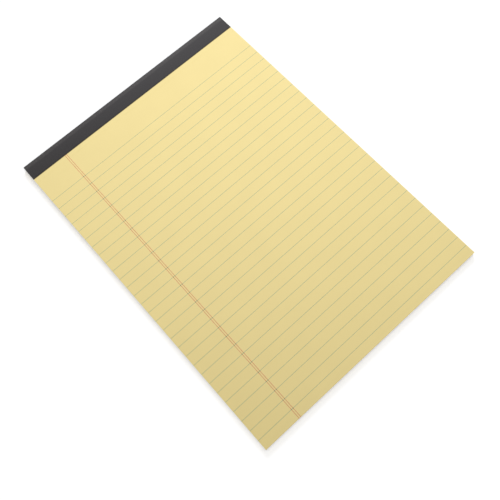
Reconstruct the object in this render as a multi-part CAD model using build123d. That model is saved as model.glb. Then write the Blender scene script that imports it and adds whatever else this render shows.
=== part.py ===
from build123d import *
import os

# A letter-size writing pad, lying on its back with the top sheet up.
# X runs across the sheets, Y towards the bound end and Z out of the top sheet.
# The origin is the middle of the pad's outline, on the surface that the pad lies on.
# All sizes are in millimetres.

# Sheets
sheet_width = 215.9
sheet_length = 298.45
sheet_thickness = 0.09
sheet_count = 50

# Greyboard behind the sheets
board_thickness = 0.8

# Binding tape, one strip folded over the bound end
tape_thickness = 0.2
front_flap = 14.7
back_flap = 14.7
fold_radius = 0.4

# Row of tear-off slits, a little clear of the tape
tear_gap = 4.35
slit_length = 0.9
slit_width = 0.06
slit_tie = 0.7

# Wire stitches under the tape, of flat wire bent the flat way
stitch_count = 4
stitch_inset = 7.5
wire_width = 0.8
wire_thickness = 0.5
wire_inner_bend = 0.3
crown_width = 12.7
clinch_length = 4.6
channel_clearance = 0.02

# Printed ruling
head_space = 41.0
foot_space = 6.0
rule_pitch = 8.9
rule_width = 0.3
margin_inset = 33.0
margin_rule_gap = 1.6
margin_rule_width = 0.3

# Heights of the faces between the layers
board_bottom = tape_thickness
board_top = board_bottom + board_thickness
page_top = board_top + sheet_count * sheet_thickness
pad_top = page_top + tape_thickness

# Ends and side of the sheets
foot = -(sheet_length + tape_thickness) / 2
head = foot + sheet_length
side = sheet_width / 2

# Lines that the stitches, the slits and the ruling keep to
stitch_line = head - stitch_inset
tape_edge = head - front_flap
tear_line = tape_edge - tear_gap
margin_centre = margin_inset - side


def layer(bottom, top, folded_face):
    # One layer of the pad. Its bound corner is rounded on the face that the tape folds onto.
    middle = Pos((foot + head) / 2, (bottom + top) / 2)
    section = Plane.YZ * (middle * Rectangle(sheet_length, top - bottom))
    bound_corners = section.vertices().group_by(Axis.Y)[-1].sort_by(Axis.Z)
    section = fillet(bound_corners[folded_face], fold_radius)
    return extrude(section, side, both=True)


def tear_slits():
    # Fine slits right through the sheets, with a tie of paper between each two and at both ends.
    pitch = slit_length + slit_tie
    count = int((sheet_width - slit_tie) / pitch)
    slit = Rectangle(slit_length, slit_width)
    row = Sketch() + [place * slit for place in GridLocations(pitch, 0, count, 1)]
    return extrude(Pos(0, tear_line, board_top) * row, pad_top - board_top)


def bent_strip(inner, outer, inner_bend, outer_bend):
    # The section of a strip between its inner and outer corners, which are rounded about the same centres.
    edges = Curve() + [
        FilletPolyline(inner, radius=inner_bend),
        FilletPolyline(outer, radius=outer_bend),
        Line(inner[0], outer[0]),
        Line(inner[-1], outer[-1]),
    ]
    return make_face(edges)


def stitch_section():
    # One stitch from the bound end: crown on the top sheet, legs down, ends turned in on the board.
    leg = crown_width / 2
    end = leg - clinch_length

    def corners(depth):
        low = board_bottom + depth
        high = page_top - depth
        leg_face = leg - depth
        across = [(-end, low), (-leg_face, low), (-leg_face, high)]
        return across + [(-x, z) for x, z in reversed(across)]

    return bent_strip(
        corners(wire_thickness), corners(0), wire_inner_bend, wire_inner_bend + wire_thickness
    )


def stitch():
    return extrude(Plane.XZ * stitch_section(), wire_width / 2, both=True)


def stitch_channel():
    # The room that one stitch takes up, open to the faces where its crown and its ends lie flush.
    room = offset(stitch_section(), channel_clearance, kind=Kind.INTERSECTION)
    return extrude(Plane.XZ * room, wire_width / 2 + channel_clearance, both=True)


def stitch_places():
    # The stitches share the width evenly, each in the middle of its share.
    return [Pos(place.position) * Pos(0, stitch_line) for place in
            GridLocations(sheet_width / stitch_count, 0, stitch_count, 1)]


def tape():
    # The strip's section: flat flaps on both faces, and a spine with a rounded fold at each side of it.
    back_edge = head - back_flap

    def corners(depth):
        low = board_bottom - depth
        high = page_top + depth
        return [(tape_edge, high), (head + depth, high), (head + depth, low), (back_edge, low)]

    section = bent_strip(
        corners(0), corners(tape_thickness), fold_radius, fold_radius + tape_thickness
    )
    return extrude(Plane.YZ * section, side, both=True)


def margin_lines():
    # Two lines down the left of the sheet, from the tape to the foot.
    line = Rectangle(margin_rule_width, tape_edge - foot)
    middle = Pos(margin_centre, (tape_edge + foot) / 2)
    return middle * (Sketch() + [place * line for place in GridLocations(margin_rule_gap, 0, 2, 1)])


def writing_lines():
    # Lines right across the sheet, left out where the margin lines cross them.
    count = int((sheet_length - head_space - foot_space) / rule_pitch) + 1
    line = Rectangle(sheet_width, rule_width)
    heights = [head - head_space - row * rule_pitch for row in range(count)]
    return Sketch() + [Pos(0, height) * line for height in heights] - margin_lines()


def ink(lines):
    # Ink that has soaked into the top sheet and lies flush with it.
    return extrude(Pos(0, 0, page_top) * lines, -sheet_thickness)


lower_face, upper_face = 0, -1
slits = tear_slits()
channels = [place * stitch_channel() for place in stitch_places()]
blue_ink = ink(writing_lines())
red_ink = ink(margin_lines())

parts = {
    "page_block": layer(board_top, page_top, upper_face) - blue_ink - red_ink - slits - channels,
    "backing_board": layer(board_bottom, board_top, lower_face) - channels,
    "binding_tape": tape(),
    "blue_rules": blue_ink,
    "margin_rules": red_ink - slits,
}
for number, place in enumerate(stitch_places(), start=1):
    parts[f"staple_{number}"] = place * stitch()

os.makedirs("parts", exist_ok=True)
for name, solid in parts.items():
    export_step(solid, f"parts/{name}.step")
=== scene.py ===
import math
import random

import bmesh
import bpy
from mathutils import Matrix, Vector, noise


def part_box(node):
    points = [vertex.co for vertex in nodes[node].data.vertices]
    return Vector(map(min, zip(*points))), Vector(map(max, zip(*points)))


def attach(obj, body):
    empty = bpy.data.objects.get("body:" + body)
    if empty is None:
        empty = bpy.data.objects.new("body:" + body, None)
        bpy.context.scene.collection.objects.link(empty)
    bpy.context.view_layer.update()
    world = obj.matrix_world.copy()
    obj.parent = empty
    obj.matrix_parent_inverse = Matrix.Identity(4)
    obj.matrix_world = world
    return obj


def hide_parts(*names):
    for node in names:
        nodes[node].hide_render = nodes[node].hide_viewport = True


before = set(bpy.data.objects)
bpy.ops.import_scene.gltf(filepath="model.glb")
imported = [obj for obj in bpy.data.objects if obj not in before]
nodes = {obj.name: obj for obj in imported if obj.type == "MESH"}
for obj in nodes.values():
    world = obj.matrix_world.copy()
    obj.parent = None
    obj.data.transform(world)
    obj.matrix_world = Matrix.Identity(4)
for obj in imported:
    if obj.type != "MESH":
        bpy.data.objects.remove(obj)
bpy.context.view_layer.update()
print("frame loaded")

# Places that the pieces share, read from the frame
blockLow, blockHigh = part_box("page_block")
tapeLow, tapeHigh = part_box("binding_tape")
marginLow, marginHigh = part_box("margin_rules")
rulesLow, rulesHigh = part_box("blue_rules")
millimetre = 0.001
sheetCount = 50
bodyName = "root"


# Shader maths: a socket with Python's own operators
class Signal:
    def __init__(self, owner, socket):
        self.owner = owner
        self.socket = socket

    def maths(self, operation, *values):
        return self.owner.node("ShaderNodeMath", {"operation": operation}, dict(enumerate(values)))

    def __add__(self, other):
        return self.maths("ADD", self, other)

    def __radd__(self, other):
        return self.maths("ADD", other, self)

    def __sub__(self, other):
        return self.maths("SUBTRACT", self, other)

    def __rsub__(self, other):
        return self.maths("SUBTRACT", other, self)

    def __mul__(self, other):
        return self.maths("MULTIPLY", self, other)

    def __rmul__(self, other):
        return self.maths("MULTIPLY", other, self)

    def __truediv__(self, other):
        return self.maths("DIVIDE", self, other)

    def __rtruediv__(self, other):
        return self.maths("DIVIDE", other, self)

    def __mod__(self, other):
        return self.maths("FLOORED_MODULO", self, other)

    def __rmod__(self, other):
        return self.maths("FLOORED_MODULO", other, self)

    def __lt__(self, other):
        return self.maths("LESS_THAN", self, other)

    def __gt__(self, other):
        return self.maths("GREATER_THAN", self, other)

    def __abs__(self):
        return self.maths("ABSOLUTE", self)

    def floored(self):
        return self.maths("FLOOR", self)

    def limited(self):
        # Kept between 0 and 1
        return self.maths("MINIMUM", self.maths("MAXIMUM", self, 0.0), 1.0)


class NodeTree:
    # The nodes of one material, or of the world
    def __init__(self, tree):
        self.tree = tree
        tree.nodes.clear()

    def node(self, kind, settings=None, inputs=None, output=0):
        # Adds a node: its settings first, then the values or links of its sockets
        made = self.tree.nodes.new(kind)
        for key, value in (settings or {}).items():
            if key == "stops":
                self.setStops(made.color_ramp, value)
            else:
                setattr(made, key, value)
        for key, value in (inputs or {}).items():
            self.feed(made.inputs[key], value)
        return Signal(self, made.outputs[output] if made.outputs else None)

    def setStops(self, ramp, stops):
        while len(ramp.elements) < len(stops):
            ramp.elements.new(1.0)
        for element, (position, level) in zip(ramp.elements, stops):
            element.position = position
            element.color = (level, level, level, 1.0)

    def feed(self, socket, value):
        if isinstance(value, Signal):
            self.tree.links.new(value.socket, socket)
        else:
            socket.default_value = value

    def place(self, stretch=(1.0, 1.0, 1.0)):
        # Object coordinates, stretched
        where = self.node("ShaderNodeTexCoord", output="Object")
        return self.node("ShaderNodeMapping", inputs={"Vector": where, "Scale": stretch})

    def axis(self, name):
        # X, Y or Z of the object coordinates
        where = self.node("ShaderNodeTexCoord", output="Object")
        return self.node("ShaderNodeSeparateXYZ", inputs={"Vector": where}, output=name)

    def cloud(self, size, stretch=(1.0, 1.0, 1.0), detail=3.0):
        # Noise with features of about that size in metres, from 0 to 1
        settings = {"noise_dimensions": "3D"}
        inputs = {"Vector": self.place(stretch), "Scale": 1.0 / size, "Detail": detail}
        return self.node("ShaderNodeTexNoise", settings, inputs, "Fac")

    def ramp(self, value, stops):
        # Grey levels by value, between stops of position and level
        return self.node("ShaderNodeValToRGB", {"stops": stops}, {"Fac": value})

    def mix(self, factor, first, second):
        # Blends two colours, which may be triples or signals: sockets 6 and 7 in, 2 out
        settings = {"data_type": "RGBA", "clamp_factor": True}
        first = first if isinstance(first, Signal) else (*first, 1.0)
        second = second if isinstance(second, Signal) else (*second, 1.0)
        return self.node("ShaderNodeMix", settings, {0: factor, 6: first, 7: second}, 2)

    def bump(self, height, distance):
        return self.node("ShaderNodeBump", {}, {"Height": height, "Distance": distance})

    def seenDirectly(self):
        # 1 for the camera and what shows in metal or glass, 0 for the light that falls on things
        camera = self.node("ShaderNodeLightPath", output="Is Camera Ray")
        glossy = self.node("ShaderNodeLightPath", output="Is Glossy Ray")
        through = self.node("ShaderNodeLightPath", output="Is Transmission Ray")
        return (camera + glossy + through).limited()


class Finish(NodeTree):
    # One material and the shader that its nodes feed
    def __init__(self, name):
        self.material = bpy.data.materials.new(name)
        self.material.use_nodes = True
        super().__init__(self.material.node_tree)

    def close(self, inputs):
        shader = self.node("ShaderNodeBsdfPrincipled", {}, inputs)
        self.node("ShaderNodeOutputMaterial", {}, {"Surface": shader})
        return self.material


def fromScreen(red, green, blue):
    # Turns a screen's colour, 0 to 255, into the linear one that a shader takes, by the sRGB curve
    levels = [level / 255 for level in (red, green, blue)]
    return tuple(v / 12.92 if v <= 0.04045 else ((v + 0.055) / 1.055) ** 2.4 for v in levels)


def scaled(colour, factor):
    return tuple(level * factor for level in colour)


# The camera stands over the pad, turned so that the bound end lies to the upper left
cameraLook = {
    "lens": 44.5,
    "sensor": 36.0,
    "nearest": 0.01,
    "farthest": 50.0,
    "fromSheet": (-0.10163, -0.15431, 0.45766),  # from the middle of the top sheet
    "aim": (0.1749, 0.2555, -0.9508),
    "right": (0.7445, -0.6663, -0.0422),
}


def makeCamera(look):
    data = bpy.data.cameras.new("camera")
    data.lens = look["lens"]
    data.sensor_width = look["sensor"]
    data.clip_start = look["nearest"]
    data.clip_end = look["farthest"]
    camera = bpy.data.objects.new("camera", data)
    back = -Vector(look["aim"]).normalized()
    up = back.cross(Vector(look["right"])).normalized()
    right = up.cross(back)
    turn = Matrix((right, up, back)).transposed().to_4x4()
    sheetTop = Vector((0.0, 0.0, blockHigh.z))
    camera.matrix_world = Matrix.Translation(sheetTop + Vector(look["fromSheet"])) @ turn
    bpy.context.scene.collection.objects.link(camera)
    bpy.context.scene.camera = camera


makeCamera(cameraLook)
print("camera placed")


# Two soft lamps that favour the bound end, and an even room
lightLook = {
    "roomLevel": 0.37,
    "roomColour": (1.04, 1.0, 0.86),
    "backdrop": (1.0, 1.0, 1.0),  # the room as the camera sees it
    "lampColour": (0.98, 1.0, 1.07),
    "lampSize": 0.45,
    "lamps": [  # place, target, power
        ((0.02, -0.02, 0.70), (0.8, 0.8, 0.0), 2.96),
        ((0.39, 0.57, 0.70), (0.0, 0.0, 0.0), 3.6),
    ],
}


def makeLight(look):
    world = bpy.data.worlds.new("room")
    world.use_nodes = True
    room = NodeTree(world.node_tree)
    roomLight = scaled(look["roomColour"], look["roomLevel"])
    colour = room.mix(room.seenDirectly(), roomLight, look["backdrop"])
    background = room.node("ShaderNodeBackground", {}, {"Color": colour})
    room.node("ShaderNodeOutputWorld", {}, {"Surface": background})
    bpy.context.scene.world = world

    for place, target, power in look["lamps"]:
        lamp = bpy.data.lights.new("lamp", "AREA")
        lamp.shape = "SQUARE"
        lamp.size = look["lampSize"]
        lamp.energy = power
        lamp.color = look["lampColour"]
        holder = bpy.data.objects.new("lamp", lamp)
        holder.location = place
        holder.rotation_mode = "QUATERNION"
        aim = Vector(target) - Vector(place)
        holder.rotation_quaternion = aim.to_track_quat("-Z", "Y")
        holder.visible_camera = False
        bpy.context.scene.collection.objects.link(holder)


makeLight(lightLook)
print("light set")


# A pale floor, white to the camera, that keeps the pad's shadow
floorLook = {
    "size": 12.0,
    "below": 0.02 * millimetre,
    "colour": (0.80, 0.80, 0.80),
    "roughness": 0.9,
    "brightest": (0.25, 0.33, 0.0),  # where the lamps light the floor most
    "reach": 2.0,
    # What the floor lacks of white to the camera, from there outwards
    "glow": [(0.0, 0.108), (0.05, 0.12), (0.1, 0.162), (0.15, 0.227), (0.2, 0.31),
             (0.25, 0.40), (0.3, 0.489), (0.35, 0.565), (0.4, 0.624), (0.5, 0.694),
             (0.6, 0.726), (0.75, 0.748), (1.0, 0.765)],
    "glowColour": (0.99, 1.0, 1.05),
    "dark": (0.0, 0.0, 0.0),
}


def makeFloor(look):
    finish = Finish("floor")
    where = finish.node("ShaderNodeTexCoord", output="Object")
    away = finish.node("ShaderNodeVectorMath", {"operation": "DISTANCE"},
                       {0: where, 1: look["brightest"]}, "Value")
    glow = finish.ramp(away / look["reach"], look["glow"]) * finish.seenDirectly()
    material = finish.close({
        "Base Color": (*look["colour"], 1.0),
        "Roughness": look["roughness"],
        "Specular IOR Level": 0.0,
        "Emission Color": finish.mix(glow, look["dark"], look["glowColour"]),
        "Emission Strength": 1.0,
    })
    shape = bmesh.new()
    bmesh.ops.create_grid(shape, x_segments=1, y_segments=1, size=look["size"] / 2)
    bmesh.ops.translate(shape, verts=shape.verts, vec=(0.0, 0.0, -look["below"]))
    mesh = bpy.data.meshes.new("floor")
    shape.to_mesh(mesh)
    shape.free()
    mesh.materials.append(material)
    floor = bpy.data.objects.new("floor", mesh)
    bpy.context.scene.collection.objects.link(floor)


makeFloor(floorLook)
print("floor laid")


# The face of the sheets
paperLook = {
    "colour": fromScreen(241, 222, 157),
    "cloudSize": 22 * millimetre,
    "cloudShade": 0.024,
    "fibreSize": 0.9 * millimetre,
    "fibreStretch": (1.0, 0.45, 1.0),
    "fibreShade": 0.04,
    "fibreDark": 0.5,  # of the paper's own colour
    "fibreDepth": 0.012 * millimetre,
    "roughness": 0.82,
    "roughnessChange": 0.1,
    "shine": 0.25,
    "paintedTapeShadow": 0.75,  # painted shadow: the sheet darkens towards the tape's edge
    "paintedTapeShadowReach": 0.5 * millimetre,
    "paintedTapeShadowColour": fromScreen(96, 80, 42),
}


def makePaper(look):
    finish = Finish("yellowPaper")
    clouds = finish.cloud(look["cloudSize"], detail=2.0)
    fibres = finish.cloud(look["fibreSize"], stretch=look["fibreStretch"], detail=4.0)
    darker = scaled(look["colour"], 1.0 - look["cloudShade"])
    lighter = scaled(look["colour"], 1.0 + look["cloudShade"])
    tone = finish.mix(clouds, darker, lighter)
    fleck = (0.5 - fibres).limited() * look["fibreShade"]
    tone = finish.mix(fleck, tone, scaled(look["colour"], look["fibreDark"]))
    # Painted shadow that the tape's edge casts on the sheet, darkest right at the edge
    inPaintedTapeShadow = (1.0 - (tapeLow.y - finish.axis("Y")) / look["paintedTapeShadowReach"]).limited()
    tone = finish.mix(inPaintedTapeShadow * look["paintedTapeShadow"], tone, look["paintedTapeShadowColour"])
    return finish.close({
        "Base Color": tone,
        "Roughness": look["roughness"] + (fibres - 0.5) * look["roughnessChange"],
        "Specular IOR Level": look["shine"],
        "Normal": finish.bump(fibres, look["fibreDepth"]),
    })


# The ruling, at the places that the frame's lines have
ruleLook = {
    "lines": 29,
    "width": 0.3 * millimetre,
    "crossing": 0.8 * millimetre,  # how far a margin line darkens where a writing line meets it
}
firstLine = rulesHigh.y - ruleLook["width"] / 2
linePitch = (rulesHigh.y - rulesLow.y - ruleLook["width"]) / (ruleLook["lines"] - 1)
marginMiddle = (marginLow.x + marginHigh.x) / 2
marginHalfGap = (marginHigh.x - marginLow.x - ruleLook["width"]) / 2


def onWritingLine(finish, width):
    # 1 within that width of a writing line, 0 elsewhere
    below = firstLine - finish.axis("Y")
    fromLine = abs((below + linePitch / 2) % linePitch - linePitch / 2)
    return (fromLine < width / 2) * (below > -width)


def onMarginLine(finish, width):
    # 1 within that width of a margin line, 0 elsewhere
    fromMiddle = abs(finish.axis("X") - marginMiddle)
    return abs(fromMiddle - marginHalfGap) < width / 2


# The cut edges of the sheets, each with its own tone, and the ends of the printed lines
edgeLook = {
    "colour": fromScreen(247, 229, 168),
    "shade": fromScreen(216, 191, 126),
    "sheetShade": 0.26,  # how much one sheet may differ from the next
    "runShade": 0.14,  # how much a sheet changes along its edge
    "runLength": 20 * millimetre,
    "runStep": 74 * millimetre,  # how far apart two sheets read the noise
    "runStops": [(0.4, 0.0), (0.7, 1.0)],
    "grainSize": 0.6 * millimetre,
    "grainStretch": (1.0, 1.0, 3.0),
    "grainShade": 0.10,
    "grainDepth": 0.02 * millimetre,
    "roughness": 0.9,
    "shine": 0.15,
    "ruleTint": 0.16,  # how much the ends of the lines colour the edge
    "ruleColour": fromScreen(128, 158, 150),
    "marginColour": fromScreen(190, 90, 70),
}


def makePaperEdge(look):
    finish = Finish("paperEdge")
    pitch = (blockHigh.z - blockLow.z) / sheetCount
    number = ((finish.axis("Z") - blockLow.z) / pitch).floored()
    own = finish.node("ShaderNodeTexWhiteNoise", {"noise_dimensions": "1D"},
                      {"W": number}, "Value")
    along = finish.node("ShaderNodeCombineXYZ", inputs={
        "X": finish.axis("X"),
        "Y": finish.axis("Y"),
        "Z": number * look["runStep"],
    })
    run = finish.node("ShaderNodeTexNoise", {"noise_dimensions": "3D"},
                      {"Vector": along, "Scale": 1.0 / look["runLength"], "Detail": 2.0}, "Fac")
    grain = finish.cloud(look["grainSize"], stretch=look["grainStretch"], detail=3.0)
    tone = finish.mix(own * look["sheetShade"], look["colour"], look["shade"])
    runs = finish.ramp(run, look["runStops"]) * look["runShade"]
    tone = finish.mix(runs, tone, look["shade"])
    tone = finish.mix(grain * look["grainShade"], tone, look["shade"])
    writing = onWritingLine(finish, ruleLook["width"]) * look["ruleTint"]
    tone = finish.mix(writing, tone, look["ruleColour"])
    margin = onMarginLine(finish, ruleLook["width"]) * look["ruleTint"]
    tone = finish.mix(margin, tone, look["marginColour"])
    return finish.close({
        "Base Color": tone,
        "Roughness": look["roughness"],
        "Specular IOR Level": look["shine"],
        "Normal": finish.bump(grain, look["grainDepth"]),
    })


yellowPaper = makePaper(paperLook)
paperEdge = makePaperEdge(edgeLook)


# The two inks
inkLook = {
    "blue": fromScreen(156, 177, 146),
    "red": fromScreen(206, 86, 76),
    "crossed": fromScreen(70, 52, 44),  # where a writing line passes under a red one
    "blotSize": 1.5 * millimetre,
    "blotStops": [(0.35, 0.0), (0.75, 1.0)],
    "blotDepth": 0.008 * millimetre,
    "thin": 0.16,  # how much paper shows where the ink is thinnest
}


def makeInk(name, colour, look, crossed=None):
    finish = Finish(name)
    blots = finish.cloud(look["blotSize"], detail=3.0)
    thin = finish.ramp(blots, look["blotStops"]) * look["thin"]
    tone = finish.mix(thin, colour, paperLook["colour"])
    if crossed:
        tone = finish.mix(onWritingLine(finish, ruleLook["crossing"]), tone, crossed)
    return finish.close({
        "Base Color": tone,
        "Roughness": paperLook["roughness"],
        "Specular IOR Level": paperLook["shine"],
        "Normal": finish.bump(blots, look["blotDepth"]),
    })


# The tape, rubbed pale at its two folds and given a painted highlight there, with painted shade
# along its flaps' edges
tapeLook = {
    "colour": fromScreen(35, 32, 32),
    "grainColour": fromScreen(58, 56, 57),
    "paintedFoldHighlightColour": fromScreen(72, 70, 71),  # painted highlight, towards the folds
    "paintedEdgeShadeColour": fromScreen(16, 13, 11),  # painted shade along the flaps' edges
    "wearAndHighlightColour": fromScreen(128, 125, 123),  # at the folds: rubbed wear and painted highlight
    "grainSize": 0.7 * millimetre,
    "grainStretch": (0.7, 1.3, 1.0),
    "grainStops": [(0.45, 0.0), (0.72, 1.0)],
    "grainShade": 0.55,
    "grainDepth": 0.03 * millimetre,
    "patchSize": 7 * millimetre,
    "patchShade": 0.2,
    "paintedFoldHighlightAmount": 0.3,
    "paintedEdgeShadeReach": 1.5 * millimetre,
    "paintedEdgeShadeAmount": 0.8,
    "wearAndHighlightReach": 4.4 * millimetre,  # from a fold's edge, up one face and down the other
    "wearAndHighlightStops": [(0.0, 0.7), (0.55, 1.0), (0.8, 0.7), (1.0, 0.0)],
    "wearAndHighlightAmount": 0.07,
    "raggedSize": 1.8 * millimetre,
    "raggedStops": [(0.42, 0.0), (0.62, 1.0)],
    "raggedShade": 0.08,
    "roughness": 0.55,
    "roughnessChange": 0.25,
    "shine": 0.26,
}


def makeTape(look):
    finish = Finish("bindingTape")
    grain = finish.cloud(look["grainSize"], stretch=look["grainStretch"], detail=4.0)
    patches = finish.cloud(look["patchSize"], detail=3.0)
    speckle = finish.ramp(grain, look["grainStops"]) * look["grainShade"]
    tone = finish.mix(speckle, look["colour"], look["grainColour"])
    tone = finish.mix(patches * look["patchShade"], tone, look["grainColour"])
    # Painted highlight, growing towards the fold
    alongFlap = (finish.axis("Y") - tapeLow.y) / (tapeHigh.y - tapeLow.y)
    tone = finish.mix(alongFlap * alongFlap * look["paintedFoldHighlightAmount"], tone, look["paintedFoldHighlightColour"])
    # Painted shade, darkest at the flap's edge where it meets the sheet
    inPaintedEdgeShade = (1.0 - (finish.axis("Y") - tapeLow.y) / look["paintedEdgeShadeReach"]).limited()
    tone = finish.mix(inPaintedEdgeShade * look["paintedEdgeShadeAmount"], tone, look["paintedEdgeShadeColour"])
    # Both folds are rubbed and carry a painted highlight, in ragged patches
    fromEnd = tapeHigh.y - finish.axis("Y")
    upper = tapeHigh.z - finish.axis("Z")
    lower = finish.axis("Z") - tapeLow.z
    fromFold = upper.maths("MINIMUM", upper, lower) + fromEnd
    wearAndHighlight = finish.ramp(fromFold / look["wearAndHighlightReach"], look["wearAndHighlightStops"])
    ragged = finish.ramp(finish.cloud(look["raggedSize"], detail=5.0), look["raggedStops"])
    amount = wearAndHighlight * (look["wearAndHighlightAmount"] + ragged * look["raggedShade"])
    tone = finish.mix(amount, tone, look["wearAndHighlightColour"])
    return finish.close({
        "Base Color": tone,
        "Roughness": look["roughness"] + (grain - 0.5) * look["roughnessChange"],
        "Specular IOR Level": look["shine"],
        "Normal": finish.bump(grain, look["grainDepth"]),
    })


# The board, pressed from grey waste paper
boardLook = {
    "colour": fromScreen(166, 157, 142),
    "dark": fromScreen(112, 103, 91),
    "pale": fromScreen(206, 199, 186),
    "cloudSize": 30 * millimetre,
    "cloudShade": 0.35,
    "fibreSize": 2.2 * millimetre,
    "fibreStretch": (1.6, 0.35, 1.0),
    "fibreShade": 0.3,
    "fibreDepth": 0.05 * millimetre,
    "fleckSize": 1.4 * millimetre,
    "fleckStretch": (0.6, 1.2, 1.0),
    "darkFleckStops": [(0.62, 0.0), (0.70, 1.0)],
    "darkFleckShade": 0.7,
    "paleFleckStops": [(0.29, 1.0), (0.36, 0.0)],
    "paleFleckShade": 0.6,
    "roughness": 0.92,
    "shine": 0.15,
}


def makeBoard(look):
    finish = Finish("greyboard")
    clouds = finish.cloud(look["cloudSize"], detail=4.0)
    fibres = finish.cloud(look["fibreSize"], stretch=look["fibreStretch"], detail=5.0)
    flecks = finish.cloud(look["fleckSize"], stretch=look["fleckStretch"], detail=2.0)
    darkFlecks = finish.ramp(flecks, look["darkFleckStops"]) * look["darkFleckShade"]
    paleFlecks = finish.ramp(flecks, look["paleFleckStops"]) * look["paleFleckShade"]
    tone = finish.mix(clouds * look["cloudShade"], look["colour"], look["dark"])
    tone = finish.mix(fibres * look["fibreShade"], tone, look["pale"])
    tone = finish.mix(darkFlecks, tone, look["dark"])
    tone = finish.mix(paleFlecks, tone, look["pale"])
    return finish.close({
        "Base Color": tone,
        "Roughness": look["roughness"],
        "Specular IOR Level": look["shine"],
        "Normal": finish.bump(fibres, look["fibreDepth"]),
    })


# The stitches under the tape
wireLook = {
    "colour": (0.56, 0.55, 0.53),
    "drawnSize": 0.06 * millimetre,
    "drawnStretch": (0.08, 1.0, 0.08),  # the wire is drawn along its length
    "drawnShade": 0.3,
    "drawnDark": 0.6,  # of the wire's own colour
    "roughness": 0.34,
    "roughnessChange": 0.2,
}


def makeWire(look):
    finish = Finish("stitchingWire")
    drawn = finish.cloud(look["drawnSize"], stretch=look["drawnStretch"], detail=2.0)
    darker = scaled(look["colour"], look["drawnDark"])
    return finish.close({
        "Base Color": finish.mix(drawn * look["drawnShade"], look["colour"], darker),
        "Metallic": 1.0,
        "Roughness": look["roughness"] + (drawn - 0.5) * look["roughnessChange"],
    })


def dress(node, material):
    mesh = nodes[node].data
    mesh.materials.clear()
    mesh.materials.append(material)


dress("blue_rules", makeInk("blueInk", inkLook["blue"], inkLook))
dress("margin_rules", makeInk("redInk", inkLook["red"], inkLook, inkLook["crossed"]))
dress("binding_tape", makeTape(tapeLook))
dress("backing_board", makeBoard(boardLook))
wireMaterial = makeWire(wireLook)
for node in sorted(nodes):
    if node.startswith("staple_"):
        dress(node, wireMaterial)
print("finishes made")


def newPiece(name, shape, materials, slotName, *replaced):
    # Turns a finished bmesh into a piece that rides on the pad
    mesh = bpy.data.meshes.new(name)
    shape.to_mesh(mesh)
    shape.free()
    for material in materials:
        mesh.materials.append(material)
    piece = bpy.data.objects.new(name, mesh)
    bpy.context.scene.collection.objects.link(piece)
    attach(piece, bodyName)
    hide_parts(*replaced)


# The top sheet, with its tear-off row
sheetLook = {
    "thickness": 0.09 * millimetre,
    "belowInk": 0.01 * millimetre,
    "trim": 0.02 * millimetre,  # off its foot and both sides
    "headTrim": 0.45 * millimetre,  # off its head, which the tape hides
    "tearGap": 4.35 * millimetre,  # from the tape's edge
    "slitLength": 0.9 * millimetre,
    "slitWidth": 0.06 * millimetre,
    "slitTie": 0.7 * millimetre,
}


def makeTopSheet(look):
    side = blockHigh.x - look["trim"]
    width = blockHigh.x - blockLow.x
    pitch = look["slitLength"] + look["slitTie"]
    count = int((width - look["slitTie"]) / pitch)
    columns = [-side]
    for number in range(count):
        middle = (number - (count - 1) / 2) * pitch
        columns += [middle - look["slitLength"] / 2, middle + look["slitLength"] / 2]
    columns.append(side)
    tearLine = tapeLow.y - look["tearGap"]
    rows = [
        blockLow.y + look["trim"],
        tearLine - look["slitWidth"] / 2,
        tearLine + look["slitWidth"] / 2,
        blockHigh.y - look["headTrim"],
    ]
    shape = bmesh.new()
    across, along = len(columns) - 1, len(rows) - 1
    # A unit grid, whose lines are then moved to the ends and the sides of the slits
    bmesh.ops.create_grid(shape, x_segments=across, y_segments=along, size=0.5)
    top = blockHigh.z - look["belowInk"]
    for vert in shape.verts:
        column = round((vert.co.x + 0.5) * across)
        row = round((vert.co.y + 0.5) * along)
        vert.co = (columns[column], rows[row], top)
    slits = []
    for face in shape.faces:
        middle = face.calc_center_median()
        inRow = rows[1] < middle.y < rows[2]
        column = sum(edge < middle.x for edge in columns)
        if inRow and column % 2 == 0:  # every second one is a slit, the others are ties
            slits.append(face)
    bmesh.ops.delete(shape, geom=slits, context="FACES")
    grown = bmesh.ops.extrude_face_region(shape, geom=shape.faces[:])
    moved = [part for part in grown["geom"] if isinstance(part, bmesh.types.BMVert)]
    bmesh.ops.translate(shape, verts=moved, vec=(0.0, 0.0, look["belowInk"] - look["thickness"]))
    bmesh.ops.recalc_face_normals(shape, faces=shape.faces)
    newPiece("top_sheet", shape, [yellowPaper], "yellow_paper", "page_block")


makeTopSheet(sheetLook)
print("top sheet cut")


# The sheets under it, as one stack with every edge showing
stackLook = {
    "pointSpacing": 4.0 * millimetre,
    "gapShare": 0.2,  # of the height that each sheet takes up
    "gapDepth": 0.16 * millimetre,
    "scatter": 0.05 * millimetre,  # how far a sheet may lie back from the block's side
    "strayShare": 0.14,  # the share of the sheets that may lie further back
    "strayDepth": 0.14 * millimetre,
    "ripple": 0.03 * millimetre,
    "rippleLength": 14.0 * millimetre,
    "rippleStep": 10.0 * millimetre,  # how far apart two sheets read the noise
    "foldRadius": 0.4 * millimetre,
    "seed": 11,
}


def startOutline(shape, look):
    # A rectangle of short edges at the foot of the stack
    bmesh.ops.create_grid(shape, x_segments=1, y_segments=1, size=0.5)
    for vert in shape.verts:
        vert.co.x = vert.co.x * (blockHigh.x - blockLow.x)
        vert.co.y = blockLow.y + (vert.co.y + 0.5) * (blockHigh.y - blockLow.y)
        vert.co.z = blockLow.z
    for edge in shape.edges[:]:
        cuts = round(edge.calc_length() / look["pointSpacing"]) - 1
        bmesh.ops.subdivide_edges(shape, edges=[edge], cuts=cuts)
    bmesh.ops.delete(shape, geom=shape.faces[:], context="FACES_ONLY")
    return shape.edges[:]


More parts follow.
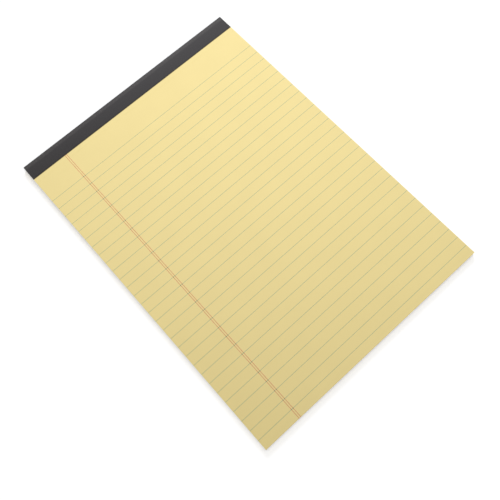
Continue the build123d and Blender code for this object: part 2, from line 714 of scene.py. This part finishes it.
def setBack(height, look):
    # How far the bound end is rounded back at that height, under the tape's fold
    rise = height - (blockHigh.z - look["foldRadius"])
    if rise <= 0:
        return 0.0
    return look["foldRadius"] - math.sqrt(max(look["foldRadius"] ** 2 - rise ** 2, 0.0))


def trimRing(verts, depths, number, look):
    # Moves one ring of the stack in from the block's sides, by a depth for each of the four
    for vert in verts:
        x, y, z = vert.co
        place = Vector((x, y, number * look["rippleStep"])) / look["rippleLength"]
        ripple = look["ripple"] * (0.5 + 0.5 * noise.noise(place))
        if x < blockLow.x + look["ripple"]:
            vert.co.x = blockLow.x + depths["left"] + ripple
        elif x > blockHigh.x - look["ripple"]:
            vert.co.x = blockHigh.x - depths["right"] - ripple
        if y < blockLow.y + look["ripple"]:
            vert.co.y = blockLow.y + depths["foot"] + ripple
        elif y > blockHigh.y - look["ripple"]:
            vert.co.y = blockHigh.y - depths["head"] - setBack(z, look)


def makeStack(look):
    draw = random.Random(look["seed"])
    shape = bmesh.new()
    firstRing = ring = startOutline(shape, look)
    sheets = sheetCount - 1
    top = blockHigh.z - sheetLook["thickness"] - sheetLook["belowInk"] / 2
    pitch = (top - blockLow.z) / sheets
    halfGap = pitch * look["gapShare"] / 2
    steps = [halfGap, pitch * (1 - look["gapShare"]), halfGap]
    rings = [list({vert for edge in ring for vert in edge.verts})]
    for step in steps * sheets:
        grown = bmesh.ops.extrude_edge_only(shape, edges=ring)["geom"]
        verts = [part for part in grown if isinstance(part, bmesh.types.BMVert)]
        edges = [part for part in grown if isinstance(part, bmesh.types.BMEdge)]
        risen = set(verts)
        ring = [edge for edge in edges if risen.issuperset(edge.verts)]
        bmesh.ops.translate(shape, verts=verts, vec=(0.0, 0.0, step))
        rings.append(verts)
    # Three rings for each sheet: the middle of the gap under it, and its own two edges
    for number in range(sheets):
        stray = look["strayDepth"] if draw.random() < look["strayShare"] else 0.0
        reach = look["scatter"] + stray
        depths = {side: draw.random() * reach for side in ("left", "right", "foot", "head")}
        deeper = {side: depth + look["gapDepth"] for side, depth in depths.items()}
        gapRing, lowerRing, upperRing = rings[3 * number:3 * number + 3]
        trimRing(gapRing, deeper, number, look)
        trimRing(lowerRing, depths, number, look)
        trimRing(upperRing, depths, number, look)
    trimRing(rings[-1], deeper, sheets, look)
    cutFaces = len(shape.faces)
    bmesh.ops.edgeloop_fill(shape, edges=firstRing)
    bmesh.ops.edgeloop_fill(shape, edges=ring)
    shape.faces.ensure_lookup_table()
    for face in shape.faces[:cutFaces]:
        face.material_index = 1  # paperEdge, the others keep yellowPaper
    bmesh.ops.recalc_face_normals(shape, faces=shape.faces)
    newPiece("sheet_stack", shape, [yellowPaper, paperEdge], "yellow_paper", "page_block")


makeStack(stackLook)
print("stack made")

bpy.context.scene.view_settings.view_transform = "Standard"
